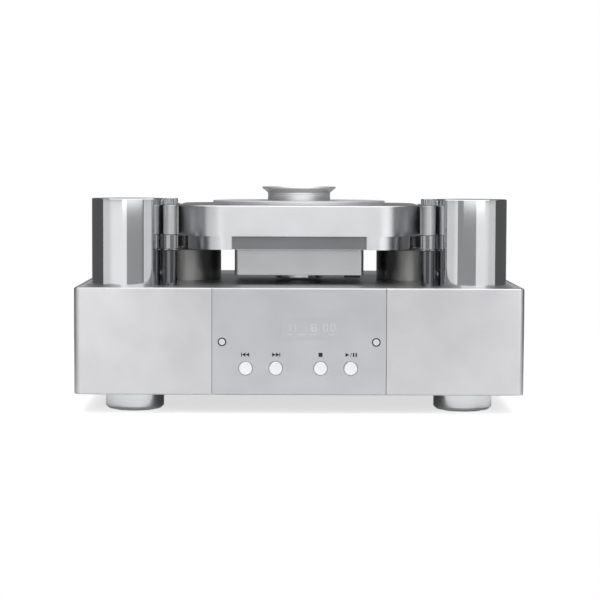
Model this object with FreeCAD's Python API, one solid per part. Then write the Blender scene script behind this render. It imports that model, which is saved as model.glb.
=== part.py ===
import FreeCAD, Part
import math
import os

# Top-loading disc transport: a wide metal case on four feet, two solid towers at its front
# corners, and a drive unit that floats above the deck on two sprung damper pots and two guide
# posts. Millimetres, +Z up, front towards -Y, origin on the ground under the middle.

# Case
case_width = 463.0
case_depth = 380.0
case_height = 110.0
case_corner = 6.0
case_edge = 1.0
wall = 12.0
deck_thickness = 10.0
floor_thickness = 4.0
floor_ledge = 6.0
rear_thickness = 4.0

# Front panel between the two cheeks
panel_width = 178.6
panel_thickness = 8.0
panel_seam = 0.6
tongue_reach = 18.0
screw_inset = 10.1
screw_z = 75.4
screw_head_radius = 3.8
screw_pocket_radius = 4.5
screw_head_depth = 2.6
screw_sink = 0.3
socket_radius = 1.9
socket_depth = 1.6

# Buttons and display
button_radius = 6.9
button_gap = 0.5
button_proud = 1.6
button_travel = 1.2
button_z = 48.4
button_shift = -1.0
button_inner = 23.0
button_outer = 54.0
button_flange = 1.8
button_plunger_radius = 2.0
button_plunger = 2.0
button_bevel = 0.5
button_lip = 1.2
button_back_gap = 0.3
dish_radius = 60.0
dish_depth = 0.3
window_x = 12.0
window_z = 89.0
window_width = 60.0
window_height = 21.0
window_thickness = 3.0
window_lip = 2.0
window_gap = 0.05
window_back_gap = 0.5
board_thickness = 1.6
board_stand_off = 5.0
board_margin = 5.7
board_low = 8.0
switch_radius = 3.0
switch_gap = 0.2

# Feet
foot_side = 58.7
foot_inset = 60.0
foot_radius = 30.5
foot_bevel = 3.0
ring_thickness = 1.7
pad_radius = 22.0
pad_thickness = 2.4
pad_proud = 1.2
pad_gap = 0.3
foot_body_height = 17.9
foot_edge = 0.5
foot_neck_radius = 12.0
ring_inset = 1.2
ring_gap = 0.3

# Towers
tower_side = 51.1
tower_back = 66.0
tower_radius = 38.0
tower_height = 90.8
tower_edge = 0.8

# Drive unit: a thick slab over a thinner plate over a box
slab_width = 262.0
slab_back = 66.0
slab_depth = 246.0
slab_corner = 55.0
slab_thickness = 32.2
slab_edge = 0.8
plate_inset = 12.0
plate_thickness = 14.3
plate_floor = 2.5
plate_recess_width = 143.2
plate_recess_depth = 8.0
plate_rear_inset = 2.0
mouth_ledge = 3.0
box_width = 137.0
box_back = 78.0
box_depth = 162.0
box_height = 27.4
box_corner = 5.0
box_wall = 3.0
box_edge = 0.6
thrust_radius = 7.0
thrust_height = 12.0
drive_clearance = 9.2
cup_radius = 26.3
cup_gap = 1.6
cup_edge = 0.8
link_x = 57.0
link_width = 17.0
link_behind = 20.0
link_depth = 14.0
link_height = 3.2

# Disc well and lid
axis_back = 189.0
well_radius = 74.0
well_depth = 14.2
base_radius = 79.85
base_gap = 0.15
lid_radius = 95.3
lid_thickness = 4.1
lid_hole_radius = 44.0
lid_edge = 0.6
lip_width = 3.0
lip_depth = 2.0
lip_gap = 0.5

# Puck that clamps the disc
puck_radius = 34.5
puck_flange_radius = 40.7
puck_rim = 1.7
puck_taper = 5.0
puck_height = 28.8
puck_groove = 0.5
puck_groove_drop = 9.0
puck_edge = 0.8
puck_dish = 0.8
puck_dish_radius = 32.5

# Spindle
shaft_radius = 3.0
shaft_running_gap = 0.03
shaft_edge = 0.5
bush_radius = 8.0
bush_flange_radius = 12.0
bush_flange = 2.0
hub_radius = 16.5
hub_thickness = 3.8
hub_lift = 1.0
hub_edge = 0.6
pin_radius = 7.45
pin_straight = 2.0
pin_taper = 2.0
pin_tip_radius = 5.5
pin_recess_gap = 0.35
pin_head_gap = 1.0
thrust_gap = 0.3

# Belt drive
pulley_radius = 26.0
motor_pulley_radius = 5.0
pulley_flange = 1.3
pulley_flange_thickness = 1.0
belt_height = 5.0
belt_thickness = 0.8
belt_gap = 0.25
belt_side_gap = 0.3
belt_rise = 18.5
motor_back = 118.0
motor_radius = 16.0
motor_shaft_radius = 1.0
motor_shaft_gap = 0.06
motor_shaft_dip = 8.0
motor_boss = 1.0
motor_boss_radius = 4.0
motor_edge = 1.0
motor_pulley_gap = 0.8

# Pickup sled
lens_inner = 23.5
lens_travel = 35.0
lens_radius = 3.2
lens_height = 1.5
lens_edge = 0.5
lens_clear_radius = 1.9
lens_bulge = 0.35
sled_half_length = 14.0
sled_half_width = 26.0
sled_height = 9.0
rail_x = 20.0
rail_radius = 2.0
rail_gap = 0.05
rail_drop = 5.7
holder_thickness = 4.0
holder_front_gap = 1.5
holder_rear_gap = 3.5
holder_below = 2.5
screw_offset = 10.0
lead_radius = 2.0
lead_gap = 0.1
lead_end = 2.0
lead_end_gap = 1.0
sled_motor_radius = 5.5
sled_motor_length = 22.0
head_half_width = 9.0
head_front = 5.8
head_rear = 9.0
head_rise = 0.8
slot_gap = 2.0

# Damper pots, studs and springs
pot_x = 126.4
pot_radius = 40.0
pot_height = 34.2
pot_edge = 1.0
stud_radius = 2.0
stud_gap = 0.6
stud_dip = 12.0
stud_room = 4.0
stud_bite = 8.0
stud_point = 0.5
spring_mean_radius = 3.4
spring_wire = 1.0
spring_turns = 7
spring_end_gap = 0.05

# Bump stops behind the pots, clear below the slab
stop_inner = 121.0
stop_width = 19.0
stop_depth = 12.0
stop_behind = 46.7
stop_gap = 3.0
stop_corner = 3.0
stop_bevel = 1.5

# Guide posts beside the towers
post_x = 134.7
post_back = 51.0
post_radius = 6.6
post_gap = 1.6
guide_pin_radius = 2.5
guide_pin_gap = 0.4
arm_radius = 8.3
arm_half_width = 6.2
arm_edge = 0.5
collar_radius = 7.9
collar_drop = 1.8
arm_low_rise = 2.3
arm_high_rise = 0.9
arm_reach = 175.0
cap_radius = 7.7
cap_height = 7.1
cap_ribs = 24
cap_rib_depth = 0.5
cap_edge = 0.7
pin_head_room = 3.0
guide_travel_room = 3.0

# Bolts and screws
bolt_head_ratio = 1.7
tower_bolt_radius = 4.0
tower_bolt_reach = 20.0
pot_bolt_radius = 3.0
pot_bolt_reach = 12.0
post_bolt_radius = 2.5
post_bolt_reach = 14.0
foot_bolt_radius = 3.0
foot_bolt_reach = 12.0
foot_bolt_head_radius = 5.0
foot_bolt_head = 3.0
floor_screw_radius = 1.6
floor_screw_shares = (0.08, 0.36, 0.64, 0.92)

# Rear sockets
socket_reach = 9.0
socket_z = 75.0
inlet_x = -150.0
inlet_width = 50.0
inlet_height = 50.0
inlet_flange = 2.0
inlet_body_depth = 26.0
inlet_corner = 3.0
inlet_side_lip = 3.0
inlet_end_lip = 2.0
plug_width = 24.5
plug_height = 17.0
plug_depth = 16.0
plug_z = 64.0
blade_width = 2.0
blade_height = 4.0
blade_sink = 3.0
blade_places = ((-7.0, -2.0), (0.0, 3.0), (7.0, -2.0))
rocker_width = 20.0
rocker_height = 13.0
rocker_z = 87.5
rocker_gap = 0.5
rocker_well = 10.0
rocker_wing = 1.2
rocker_saddle = 0.2
rocker_side = 3.0
rocker_keel = 6.0
rocker_edge = 0.4
rocker_tilt = 8.0
rocker_pin_radius = 1.5
rocker_pin_reach = 1.5
rocker_pin_depth = 3.0
rocker_pin_gap = 0.05
coax_x = (60.0, 95.0)
coax_radius = 4.2
coax_neck_radius = 5.2
coax_nut_radius = 6.8
coax_nut = 2.0
coax_bore = 1.6
coax_inside = 6.0

# Transformer and boards inside the case
transformer_x = 130.0
transformer_behind = 60.0
transformer_radius = 58.0
transformer_bore = 20.0
transformer_height = 52.0
transformer_round = 6.0
supply_x = 120.0
supply_behind = 80.0
supply_width = 130.0
supply_depth = 150.0
control_x = 40.0
control_ahead = 60.0
control_width = 200.0
control_depth = 110.0
capacitor_count = 4
capacitor_spacing = 24.0
capacitor_radius = 8.0
capacitor_height = 18.0

# Places worked out from the sizes above
foot_height = pad_proud + foot_body_height + ring_thickness
case_bottom = foot_height
deck_top = case_bottom + case_height
deck_bottom = deck_top - deck_thickness
floor_top = case_bottom + floor_thickness
front_y = -(case_depth + socket_reach - button_proud) / 2.0
rear_y = front_y + case_depth
inner_x = case_width / 2.0 - wall
inner_y = front_y + wall
panel_back_y = front_y + panel_thickness
screw_x = panel_width / 2.0 - screw_inset
foot_x = case_width / 2.0 - foot_side
tower_x = case_width / 2.0 - tower_side
tongue_x = panel_width / 2.0 + panel_seam - tongue_reach
axis_y = front_y + axis_back
box_bottom = deck_top + drive_clearance
plate_bottom = box_bottom + box_height
slab_bottom = plate_bottom + plate_thickness
slab_top = slab_bottom + slab_thickness
slab_front_y = front_y + slab_back
slab_rear_y = slab_front_y + slab_depth
well_floor = slab_top - well_depth
arm_bottom = slab_bottom + arm_low_rise
arm_top = slab_top + arm_high_rise
hub_bottom = well_floor + hub_lift
hub_top = hub_bottom + hub_thickness
pot_top = deck_top + pot_height
post_y = front_y + post_back
tower_y = front_y + tower_back
motor_y = front_y + motor_back
rail_z = slab_bottom - rail_drop
belt_bottom = box_bottom + box_wall + belt_rise
lens_y = axis_y + lens_inner
sled_front_y = lens_y - sled_half_length
front_holder_y = sled_front_y - holder_front_gap - holder_thickness
rear_holder_y = lens_y + lens_travel + sled_half_length + holder_rear_gap
foot_places = {
    "foot_front_left": (-foot_x, front_y + foot_inset),
    "foot_front_right": (foot_x, front_y + foot_inset),
    "foot_rear_left": (-foot_x, rear_y - foot_inset),
    "foot_rear_right": (foot_x, rear_y - foot_inset),
}
button_places = {
    "button_previous": button_shift - button_outer,
    "button_next": button_shift - button_inner,
    "button_stop": button_shift + button_inner,
    "button_play": button_shift + button_outer,
}


def point(x, y, z):
    return FreeCAD.Vector(x, y, z)


def block(x0, x1, y0, y1, z0, z1):
    return Part.makeBox(x1 - x0, y1 - y0, z1 - z0, point(x0, y0, z0))


def rod(radius, x, y, z0, z1):
    return Part.makeCylinder(radius, z1 - z0, point(x, y, z0), point(0, 0, 1))


def rod_along_y(radius, x, z, y0, y1):
    return Part.makeCylinder(radius, y1 - y0, point(x, y0, z), point(0, 1, 0))


def turned(profile, x, y):
    # A closed profile of (radius, height) points, turned about a vertical axis at x, y
    corners = [point(x + radius, y, z) for radius, z in profile]
    face = Part.Face(Part.makePolygon(corners + corners[:1]))
    return face.revolve(point(x, y, 0), point(0, 0, 1), 360)


def joined(pieces):
    return pieces[0].multiFuse(pieces[1:]).removeSplitter()


def mirrored(shape):
    return shape.mirror(point(0, 0, 0), point(1, 0, 0))


def rounded_plate(x0, x1, y0, y1, z0, z1, radius):
    # A flat plate whose four vertical corners are round
    swing = radius * (1.0 - math.sqrt(0.5))
    edges = []
    corners = [
        (point(x1 - radius, y0, z0), point(x1 - swing, y0 + swing, z0), point(x1, y0 + radius, z0)),
        (point(x1, y1 - radius, z0), point(x1 - swing, y1 - swing, z0), point(x1 - radius, y1, z0)),
        (point(x0 + radius, y1, z0), point(x0 + swing, y1 - swing, z0), point(x0, y1 - radius, z0)),
        (point(x0, y0 + radius, z0), point(x0 + swing, y0 + swing, z0), point(x0 + radius, y0, z0)),
    ]
    for place, (start, middle, end) in enumerate(corners):
        edges.append(Part.Arc(start, middle, end).toShape())
        edges.append(Part.LineSegment(end, corners[(place + 1) % 4][0]).toShape())
    return Part.Face(Part.Wire(edges)).extrude(point(0, 0, z1 - z0))


def break_edges(shape, size, chosen):
    return shape.makeChamfer(size, [edge for edge in shape.Edges if chosen(edge)])


def lies_at(edge, **limits):
    # True when the whole edge lies in the planes named by x, y or z
    box = edge.BoundBox
    spans = {"x": (box.XMin, box.XMax), "y": (box.YMin, box.YMax), "z": (box.ZMin, box.ZMax)}
    return all(abs(end - limits[name]) < 0.01 for name in limits for end in spans[name])


# Case

def front_cheek():
    # The right cheek, with a rounded outer corner and a tongue behind the centre panel
    outer = case_width / 2.0
    inner = panel_width / 2.0 + panel_seam
    swing = case_corner * (1.0 - math.sqrt(0.5))
    z = case_bottom
    start = point(outer - case_corner, front_y, z)
    middle = point(outer - swing, front_y + swing, z)
    end = point(outer, front_y + case_corner, z)
    path = [point(outer, inner_y, z), point(tongue_x, inner_y, z), point(tongue_x, panel_back_y, z),
            point(inner, panel_back_y, z), point(inner, front_y, z), start]
    edges = [Part.LineSegment(a, b).toShape() for a, b in zip([end] + path[:-1], path)]
    edges.append(Part.Arc(start, middle, end).toShape())
    cheek = Part.Face(Part.Wire(edges)).extrude(point(0, 0, case_height))
    cheek = break_edges(cheek, case_edge, lambda edge: lies_at(edge, z=deck_top) and
                        (lies_at(edge, y=front_y) or edge.BoundBox.XMin > outer - case_corner - 0.01))
    cheek = break_edges(cheek, case_edge, lambda edge: lies_at(edge, z=case_bottom) and
                        (lies_at(edge, y=front_y) or edge.BoundBox.XMin > outer - case_corner - 0.01))
    hole = rod_along_y(screw_head_radius / 2.0, screw_x, screw_z, panel_back_y, inner_y)
    return cheek.cut(hole)


def side_wall():
    # The right wall, with a ledge for the floor plate
    outer = case_width / 2.0
    shape = block(inner_x, outer, inner_y, rear_y, case_bottom, deck_top)
    shape = break_edges(shape, case_edge, lambda edge: lies_at(edge, x=outer) and
                        not lies_at(edge, y=inner_y))
    ledge = block(inner_x, inner_x + floor_ledge, inner_y, rear_y, case_bottom, floor_top)
    return shape.cut(ledge)


def floor_plate():
    half = inner_x + floor_ledge
    plate = block(-half, half, inner_y, rear_y, case_bottom, floor_top)
    tab = block(-tongue_x, tongue_x, panel_back_y, inner_y, case_bottom, floor_top)
    holes = [rod(foot_bolt_radius, x, y, case_bottom, floor_top) for x, y in foot_places.values()]
    holes += [rod(floor_screw_radius, x, y, case_bottom, floor_top) for x, y in floor_screw_places()]
    return plate.fuse(tab).removeSplitter().cut(Part.makeCompound(holes))


def floor_screw_places():
    x = inner_x + floor_ledge / 2.0
    ys = [inner_y + (rear_y - inner_y) * share for share in floor_screw_shares]
    return [(side * x, y) for side in (-1, 1) for y in ys]


def deck_bolt_places():
    # Each bolt's x, y, radius and reach above the deck
    places = []
    for side in (-1, 1):
        places.append((side * tower_x, tower_y, tower_bolt_radius, tower_bolt_reach))
        places.append((side * pot_x, axis_y + pot_radius / 2.0, pot_bolt_radius, pot_bolt_reach))
        places.append((side * post_x, post_y, post_bolt_radius, post_bolt_reach))
    return places


def top_deck():
    plate = block(-inner_x, inner_x, inner_y, rear_y, deck_bottom, deck_top)
    tab = block(-tongue_x, tongue_x, panel_back_y, inner_y, deck_bottom, deck_top)
    holes = [rod(radius, x, y, deck_bottom, deck_top) for x, y, radius, reach in deck_bolt_places()]
    return plate.fuse(tab).removeSplitter().cut(Part.makeCompound(holes))


def deck_bolts():
    # Bolts that hold the towers, pots and posts from inside the case
    bolts = []
    for x, y, radius, reach in deck_bolt_places():
        head = rod(radius * bolt_head_ratio, x, y, deck_bottom - radius * 2.0, deck_bottom)
        bolts.append(head.fuse(rod(radius, x, y, deck_bottom, deck_top + reach)).removeSplitter())
    return bolts


def front_panel():
    half = panel_width / 2.0
    panel = block(-half, half, front_y, panel_back_y, case_bottom, deck_top)
    panel = break_edges(panel, case_edge, lambda edge: lies_at(edge, y=front_y) and
                        (lies_at(edge, z=deck_top) or lies_at(edge, z=case_bottom)))
    cuts = []
    for x in button_places.values():
        cuts.append(rod_along_y(button_radius + button_gap, x, button_z, front_y, panel_back_y))
    for x in (-screw_x, screw_x):
        pocket_y = front_y + screw_head_depth + screw_sink
        cuts.append(rod_along_y(screw_pocket_radius, x, screw_z, front_y, pocket_y))
        cuts.append(rod_along_y(screw_head_radius / 2.0, x, screw_z, pocket_y, panel_back_y))
    cuts.append(window_block(window_width, window_height, front_y, front_y + window_thickness))
    cuts.append(window_block(window_width - 2.0 * window_lip, window_height - 2.0 * window_lip,
                             front_y + window_thickness, panel_back_y))
    return panel.cut(Part.makeCompound(cuts))


def window_block(width, height, y0, y1):
    return block(window_x - width / 2.0, window_x + width / 2.0, y0, y1,
                 window_z - height / 2.0, window_z + height / 2.0)


def display_window():
    return window_block(window_width - 2.0 * window_gap, window_height - 2.0 * window_gap,
                        front_y, front_y + window_thickness)


def panel_screws():
    # Socket-head screws that hold the panel to the tongues of the cheeks
    screws = []
    for x in (-screw_x, screw_x):
        top = front_y + screw_sink
        head = rod_along_y(screw_head_radius, x, screw_z, top, top + screw_head_depth)
        shank = rod_along_y(screw_head_radius / 2.0, x, screw_z, top + screw_head_depth, inner_y)
        corners = []
        for step in range(7):
            angle = math.radians(60 * step)
            corners.append(point(x + socket_radius * math.cos(angle), top,
                                 screw_z + socket_radius * math.sin(angle)))
        socket = Part.Face(Part.makePolygon(corners)).extrude(point(0, socket_depth, 0))
        screws.append(head.fuse(shank).removeSplitter().cut(socket))
    return screws


def front_board():
    # One circuit board behind the panel, with the display glass and a switch behind each button
    y0 = inner_y + board_stand_off
    half = screw_x + board_margin
    low = case_bottom + board_low
    high = deck_bottom - board_margin
    pieces = [block(-half, half, y0, y0 + board_thickness, low, high)]
    pieces.append(window_block(window_width - 2.0 * window_lip - 2.0 * window_back_gap,
                               window_height - 2.0 * window_lip - 2.0 * window_back_gap,
                               panel_back_y + window_back_gap, y0))
    for x in button_places.values():
        switch_y = button_end_y() + button_travel + switch_gap
        pieces.append(rod_along_y(switch_radius, x, button_z, switch_y, y0))
    for x in (-screw_x, screw_x):
        for z in (low + board_margin, high - board_margin):
            pieces.append(rod_along_y(switch_radius, x, z, inner_y, y0))
    return joined(pieces)


def button_end_y():
    return panel_back_y + button_back_gap + button_flange + button_plunger


def button(x):
    # A dished cap, a flange that stops it behind the panel, and a plunger for the switch
    front = front_y - button_proud
    flange_y = panel_back_y + button_back_gap
    cap = rod_along_y(button_radius, x, button_z, front, flange_y)
    cap = break_edges(cap, button_bevel, lambda edge: lies_at(edge, y=front))
    dish = Part.makeSphere(dish_radius, point(x, front - dish_radius + dish_depth, button_z))
    flange = rod_along_y(button_radius + button_gap + button_lip, x, button_z, flange_y,
                         flange_y + button_flange)
    plunger = rod_along_y(button_plunger_radius, x, button_z, flange_y + button_flange, button_end_y())
    return joined([cap.cut(dish), flange, plunger])


# Feet

def foot(x, y):
    z0 = pad_proud
    z1 = z0 + foot_body_height
    recess = pad_thickness
    seat = pad_radius + pad_gap
    profile = [(0, recess), (seat, recess), (seat, z0),
               (foot_radius - foot_bevel, z0), (foot_radius, z0 + foot_bevel),
               (foot_radius, z1 - foot_edge), (foot_radius - foot_edge, z1), (foot_neck_radius, z1),
               (foot_neck_radius, foot_height), (0, foot_height)]
    bolt_hole = rod(foot_bolt_radius, x, y, foot_height - foot_bolt_reach, foot_height)
    return turned(profile, x, y).cut(bolt_hole)


def foot_rings():
    rings = []
    low = foot_height - ring_thickness
    for x, y in foot_places.values():
        outer = rod(foot_radius - ring_inset, x, y, low, foot_height)
        rings.append(outer.cut(rod(foot_neck_radius + ring_gap, x, y, low, foot_height)))
    return Part.makeCompound(rings)


def foot_pads():
    return Part.makeCompound([rod(pad_radius, x, y, 0.0, pad_thickness) for x, y in foot_places.values()])


# Towers, pots, posts

def tower():
    shape = rod(tower_radius, tower_x, tower_y, deck_top, deck_top + tower_height)
    shape = break_edges(shape, tower_edge, lambda edge: lies_at(edge, z=deck_top + tower_height))
    return shape.cut(rod(tower_bolt_radius, tower_x, tower_y, deck_top, deck_top + tower_bolt_reach))


def damper_pot():
    shape = rod(pot_radius, pot_x, axis_y, deck_top, pot_top)
    shape = break_edges(shape, pot_edge, lambda edge: lies_at(edge, z=pot_top))
    well = rod(stud_radius + stud_gap, pot_x, axis_y, pot_top - stud_dip - stud_room, pot_top)
    bolt_hole = rod(pot_bolt_radius, pot_x, axis_y + pot_radius / 2.0, deck_top, deck_top + pot_bolt_reach)
    return shape.cut(well).cut(bolt_hole)


def damper_studs():
    # Studs screwed into the slab, which reach down inside the springs into the pots
    studs = []
    for side in (-1, 1):
        x = side * pot_x
        low = pot_top - stud_dip
        high = slab_bottom + stud_bite
        profile = [(0, low), (stud_radius - stud_point, low), (stud_radius, low + stud_point),
                   (stud_radius, high), (0, high)]
        studs.append(turned(profile, x, axis_y))
    return Part.makeCompound(studs)


def bump_stops():
    # Rubber blocks that catch the drive unit if it is pushed down hard
    y = axis_y + stop_behind
    top = slab_bottom - stop_gap
    block_shape = rounded_plate(stop_inner, stop_inner + stop_width, y, y + stop_depth, deck_top, top,
                                stop_corner)
    block_shape = break_edges(block_shape, stop_bevel, lambda edge: lies_at(edge, z=top))
    return Part.makeCompound([block_shape, mirrored(block_shape)])


def helix_place(x, y, z0, pitch, angle):
    return point(x + spring_mean_radius * math.cos(angle), y + spring_mean_radius * math.sin(angle),
                 z0 + pitch * angle / (2.0 * math.pi))


def helix_way(pitch, angle):
    way = point(-spring_mean_radius * math.sin(angle), spring_mean_radius * math.cos(angle),
                pitch / (2.0 * math.pi))
    return way.normalize()


def arc_between(start, corner, end):
    # The arc that leaves start towards corner and comes to end, corner being as far from both
    half = (end - start) * 0.5
    middle = start + half
    lean = corner - middle
    reach = (corner - start).Length
    angle = math.acos(min(1.0, half.Length / reach))
    rise = half.Length * math.tan(angle / 2.0)
    return Part.Arc(start, middle + lean.normalize() * rise, end).toShape()


def biarc(p0, t0, p1, t1):
    gap = p1 - p0
    both = t0 + t1
    spread = 2.0 * (1.0 - t0.dot(t1))
    along = gap.dot(both)
    reach = (-along + math.sqrt(along * along + spread * gap.dot(gap))) / spread
    first = p0 + t0 * reach
    last = p1 - t1 * reach
    joint = (first + last) * 0.5
    return [arc_between(p0, first, joint), arc_between(joint, last, p1)]


def spring(x):
    # One unbroken helix of round wire between the pot and the slab
    wire = spring_wire / 2.0
    low = pot_top + wire + spring_end_gap
    high = slab_bottom - wire - spring_end_gap
    pitch = (high - low) / spring_turns
    edges = []
    quarter = math.pi / 2.0
    for step in range(4 * spring_turns):
        a = step * quarter
        b = a + quarter
        edges += biarc(helix_place(x, axis_y, low, pitch, a), helix_way(pitch, a),
                       helix_place(x, axis_y, low, pitch, b), helix_way(pitch, b))
    path = Part.Wire(edges)
    start = helix_place(x, axis_y, low, pitch, 0.0)
    section = Part.Wire(Part.Circle(start, helix_way(pitch, 0.0), wire).toShape())
    tube = path.makePipeShell([section], True, False)
    print("spring at x", x, "least gap to itself", round(self_gap(pitch), 3), "mm")
    return tube


def self_gap(pitch):
    # Least distance between points on neighbouring turns, less the wire
    steps = 720
    least = 1e9
    for index in range(steps):
        angle = math.pi + 2.0 * math.pi * index / steps
        gap = helix_place(0, 0, 0, pitch, angle) - helix_place(0, 0, 0, pitch, 0.0)
        least = min(least, gap.Length)
    return least - spring_wire


def guide_post():
    # A thick post with a thin pin above it that guides the drive unit
    shoulder = slab_bottom - plate_thickness + collar_drop - post_gap
    pin_top = arm_top + cap_height - pin_head_room - guide_travel_room
    profile = [(0, deck_top), (post_radius, deck_top), (post_radius, shoulder - arm_edge),
               (post_radius - arm_edge, shoulder), (guide_pin_radius, shoulder),
               (guide_pin_radius, pin_top), (0, pin_top)]
    shape = turned(profile, post_x, post_y)
    return shape.cut(rod(post_bolt_radius, post_x, post_y, deck_top, deck_top + post_bolt_reach))


def guide_collars():
    collars = []
    low = slab_bottom - plate_thickness + collar_drop
    bore = guide_pin_radius + guide_pin_gap
    for side in (-1, 1):
        profile = [(bore, low), (collar_radius - arm_edge, low), (collar_radius, low + arm_edge),
                   (collar_radius, arm_bottom - arm_edge), (collar_radius - arm_edge, arm_bottom),
                   (bore, arm_bottom)]
        collars.append(turned(profile, side * post_x, post_y))
    return Part.makeCompound(collars)


def side_arm():
    # A bar on the slab's side that reaches forward to the guide post
    low = arm_bottom
    high = arm_top
    half = slab_width / 2.0
    slab = rounded_plate(-half, half, slab_front_y, slab_rear_y, low, high, slab_corner)
    bar = block(post_x - arm_half_width, post_x + arm_half_width, post_y, front_y + arm_reach, low, high)
    nose = rod(arm_radius, post_x, post_y, low, high)
    nose = break_edges(nose, arm_edge, lambda edge: lies_at(edge, z=low) or lies_at(edge, z=high))
    shape = bar.fuse(nose).removeSplitter().cut(slab)
    return shape.cut(rod(guide_pin_radius + guide_pin_gap, post_x, post_y, low, high))


def guide_caps():
    # Ribbed round caps over the guide pins
    caps = []
    for side in (-1, 1):
        x = side * post_x
        top = arm_top + cap_height
        corners = []
        for step in range(2 * cap_ribs):
            radius = cap_radius if step % 2 else cap_radius - cap_rib_depth
            angle = math.pi * step / cap_ribs
            corners.append(point(x + radius * math.cos(angle), post_y + radius * math.sin(angle), arm_top))
        ribs = Part.Face(Part.makePolygon(corners + corners[:1])).extrude(point(0, 0, cap_height))
        profile = [(0, arm_top), (cap_radius - cap_edge, arm_top), (cap_radius, arm_top + cap_edge),
                   (cap_radius, top - cap_edge), (cap_radius - cap_edge, top), (0, top)]
        cap = ribs.common(turned(profile, x, post_y))
        bore = rod(guide_pin_radius + guide_pin_gap, x, post_y, arm_top, top - pin_head_room)
        caps.append(cap.cut(bore))
    return Part.makeCompound(caps)


# Drive unit

def bearing_hole():
    hole = rod(bush_radius, 0, axis_y, slab_bottom, well_floor)
    return hole.fuse(rod(bush_flange_radius, 0, axis_y, well_floor - bush_flange, well_floor))


def pickup_slot():
    front = lens_y - head_front - slot_gap
    rear = lens_y + lens_travel + head_rear + slot_gap / 2.0
    half = head_half_width + slot_gap
    return block(-half, half, front, rear, slab_bottom, well_floor)


def drive_slab():
    # The thick slab, open through its middle, with the disc well above the seat of the base
    half = slab_width / 2.0
    slab = rounded_plate(-half, half, slab_front_y, slab_rear_y, slab_bottom, slab_top, slab_corner)
    slab = break_edges(slab, slab_edge, lambda edge: lies_at(edge, z=slab_top))
    cuts = [rod(well_radius, 0, axis_y, well_floor, slab_top),
            rod(base_radius + base_gap, 0, axis_y, slab_bottom, well_floor)]
    for side in (-1, 1):
        cuts.append(rod(stud_radius, side * pot_x, axis_y, slab_bottom, slab_bottom + stud_bite))
    for cut in cuts:
        slab = slab.cut(cut)
    return slab


def mechanism_base():
    # The round floor of the disc well, which carries the spindle bearing over the pickup slot
    base = rod(base_radius, 0, axis_y, slab_bottom, well_floor)
    return base.cut(bearing_hole()).cut(pickup_slot())


def drive_plate():
    # The plate under the slab, a tray that is open above the box, with a recess in its front
    half = slab_width / 2.0 - plate_inset
    rear = slab_rear_y - plate_rear_inset
    plate = rounded_plate(-half, half, slab_front_y, rear, plate_bottom, slab_bottom,
                          slab_corner - plate_inset)
    recess = block(-plate_recess_width / 2.0, plate_recess_width / 2.0, slab_front_y,
                   slab_front_y + plate_recess_depth, plate_bottom, slab_bottom)
    inner = box_width / 2.0 - box_wall
    front = front_y + box_back + box_wall
    pocket = block(-inner, inner, front, rear - plate_inset, plate_bottom + plate_floor, slab_bottom)
    mouth_rear = front_y + box_back + box_depth - box_wall - mouth_ledge
    mouth = block(-inner + mouth_ledge, inner - mouth_ledge, front + mouth_ledge, mouth_rear,
                  plate_bottom, plate_bottom + plate_floor)
    return plate.cut(recess).cut(pocket).cut(mouth)


def drive_box():
    half = box_width / 2.0
    y0 = front_y + box_back
    y1 = y0 + box_depth
    outer = rounded_plate(-half, half, y0, y1, box_bottom, plate_bottom, box_corner)
    outer = break_edges(outer, box_edge, lambda edge: lies_at(edge, z=box_bottom))
    inner = block(-half + box_wall, half - box_wall, y0 + box_wall, y1 - box_wall,
                  box_bottom + box_wall, plate_bottom)
    thrust = rod(thrust_radius, 0, axis_y, box_bottom + box_wall, box_bottom + thrust_height)
    return outer.cut(inner).fuse(thrust).removeSplitter()


def bearing_cup():
    # A polished round housing under the box, clear of the deck
    low = deck_top + cup_gap
    profile = [(0, low), (cup_radius - cup_edge, low), (cup_radius, low + cup_edge),
               (cup_radius, box_bottom), (0, box_bottom)]
    return turned(profile, 0, axis_y)


def link_socket():
    y = front_y + box_back + link_behind
    return block(link_x - link_width / 2.0, link_x + link_width / 2.0, y, y + link_depth,
                 box_bottom - link_height, box_bottom)


def spindle_bearing():
    bore = shaft_radius + shaft_running_gap
    bush = bearing_hole().removeSplitter()
    return bush.cut(rod(bore, 0, axis_y, slab_bottom, well_floor))


def spindle_motor():
    low = box_bottom + box_wall
    high = motor_top()
    can = rod(motor_radius, 0, motor_y, low, high - motor_boss)
    can = break_edges(can, motor_edge, lambda edge: lies_at(edge, z=high - motor_boss))
    boss = rod(motor_boss_radius, 0, motor_y, high - motor_boss, high)
    bore = rod(motor_shaft_radius + motor_shaft_gap, 0, motor_y, high - motor_shaft_dip - motor_boss, high)
    return can.fuse(boss).removeSplitter().cut(bore)


def motor_top():
    return belt_bottom - pulley_flange_thickness - motor_pulley_gap


def belt_outline(first, second, z):
    # The line round two pulleys on the Y axis line, of radii first at the spindle, second at the motor
    span = axis_y - motor_y
    lean = math.asin((first - second) / span)
    sin = math.sin(lean)
    cos = math.cos(lean)
    right = [point(first * cos, axis_y - first * sin, z), point(second * cos, motor_y - second * sin, z)]
    left = [point(-place.x, place.y, z) for place in right]
    edges = [Part.LineSegment(right[0], right[1]).toShape(),
             Part.Arc(right[1], point(0, motor_y - second, z), left[1]).toShape(),
             Part.LineSegment(left[1], left[0]).toShape(),
             Part.Arc(left[0], point(0, axis_y + first, z), right[0]).toShape()]
    return Part.Face(Part.Wire(edges))


def spindle_belt():
    near = belt_gap
    far = belt_gap + belt_thickness
    up = point(0, 0, belt_height)
    outer = belt_outline(pulley_radius + far, motor_pulley_radius + far, belt_bottom).extrude(up)
    inner = belt_outline(pulley_radius + near, motor_pulley_radius + near, belt_bottom).extrude(up)
    return outer.cut(inner)


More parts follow.
